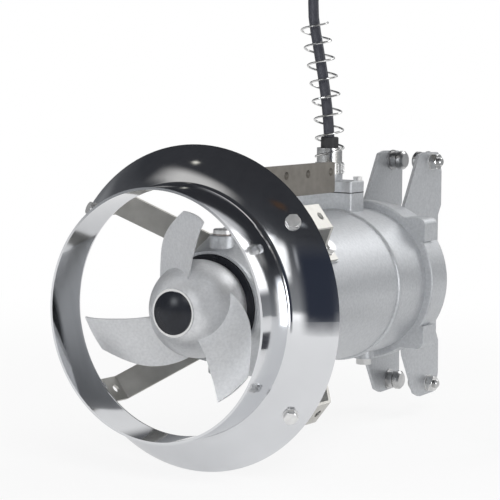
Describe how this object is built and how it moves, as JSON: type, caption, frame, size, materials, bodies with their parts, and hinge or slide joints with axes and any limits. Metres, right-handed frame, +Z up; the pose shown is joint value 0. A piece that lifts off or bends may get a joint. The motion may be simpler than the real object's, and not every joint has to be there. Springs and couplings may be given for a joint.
{
  "type": "submersible mixer",
  "caption": "Submersible mixer with a polished jet ring on bent straps, a bladed propeller on a round hub, a sealed motor, guide plates and a cable with a spring guard.",
  "frame": {"origin": "middle of the length and width of the mixer without its cable, on the floor plane under the ring", "axes": "+Y along the shaft towards the guide plates, -Y the way the jet leaves, +X to the right seen from the front, +Z up"},
  "size_m": [0.6178, 0.6011, 0.6331],
  "materials": {
    "polished_steel": "mirror polished stainless sheet",
    "strap_steel": "satin stainless strip",
    "cast_grey": "bead-blasted casting",
    "cast_steel": "satin cast stainless",
    "fastener": "bright stainless",
    "black_plastic": "glossy black",
    "black_rubber": "matte black",
    "cable_rubber": "smooth dark jacket",
    "steel": "machined",
    "bearing_steel": "ground",
    "laminations": "oiled sheet stack",
    "copper": "varnished copper",
    "bronze": "machined",
    "seal_carbide": "lapped",
    "terminal_plastic": "moulded",
    "wire_plastic": "insulation",
    "plate_grey": "satin warm grey"
  },
  "bodies": {
    "mixer": {"jet_ring": "polished_steel", "strap_upper_right": "strap_steel", "strap_upper_left": "strap_steel", "strap_lower_left": "strap_steel", "strap_lower_right": "strap_steel", "strap_bolts": "fastener", "bolt_washers": "fastener", "ring_nuts": "fastener", "stator_core": "laminations", "stator_windings": "copper", "front_bearing_outer": "bearing_steel", "rear_bearing_outer": "bearing_steel", "front_seal_seat": "seal_carbide", "rear_seal_seat": "seal_carbide", "oil_housing": "cast_grey", "oil_plugs": "fastener", "plug_gaskets": "copper", "motor_housing": "cast_grey", "bearing_bracket": "cast_grey", "connection_housing": "cast_grey", "housing_seals": "black_rubber", "drain_plug": "fastener", "terminal_block": "terminal_plastic", "cable_tail": "wire_plastic", "rear_cover": "cast_grey", "lug_bolts": "fastener", "guide_pins": "steel", "guide_pin_washers": "fastener", "guide_pin_nuts": "fastener", "lifting_plate": "plate_grey", "lifting_bolts": "fastener", "entry_gasket": "black_rubber", "entry_cover": "cast_grey", "entry_bolts": "fastener", "gland_body": "cast_grey", "gland_nut": "fastener", "gland_collar": "fastener", "cable_sleeve": "black_rubber", "spring_guard": "fastener", "cable": "cable_rubber", "cable_coil": "cable_rubber", "cable_end": "black_rubber"},
    "rotor": {"propeller": "cast_steel", "hub_cap": "black_plastic", "cap_ring": "bearing_steel", "propeller_screw": "fastener", "propeller_washer": "fastener", "propeller_key": "steel", "deflector_ring": "black_plastic", "shaft": "steel", "rotor_core": "laminations", "rotor_rings": "cast_grey", "front_bearing_inner": "bearing_steel", "rear_bearing_inner": "bearing_steel", "front_seal_ring": "seal_carbide", "rear_seal_ring": "seal_carbide"},
    "front_cage": {"front_bearing_balls": "bearing_steel", "front_bearing_cage": "bronze"},
    "rear_cage": {"rear_bearing_balls": "bearing_steel", "rear_bearing_cage": "bronze"}
  },
  "joints": [
    {"name": "propeller_spin", "type": "hinge", "parent": "mixer", "child": "rotor", "pos_m": [0, -0.20065, 0.1668], "axis": [0, 1, 0], "continuous": true},
    {"name": "front_cage_spin", "type": "hinge", "parent": "mixer", "child": "front_cage", "pos_m": [0, -0.08465, 0.1668], "axis": [0, 1, 0], "continuous": true},
    {"name": "rear_cage_spin", "type": "hinge", "parent": "mixer", "child": "rear_cage", "pos_m": [0, 0.08285, 0.1668], "axis": [0, 1, 0], "continuous": true}
  ],
  "couplings": [
    {"joint": "front_cage_spin", "follows": "propeller_spin", "ratio": 0.4},
    {"joint": "rear_cage_spin", "follows": "propeller_spin", "ratio": 0.4}
  ]
}
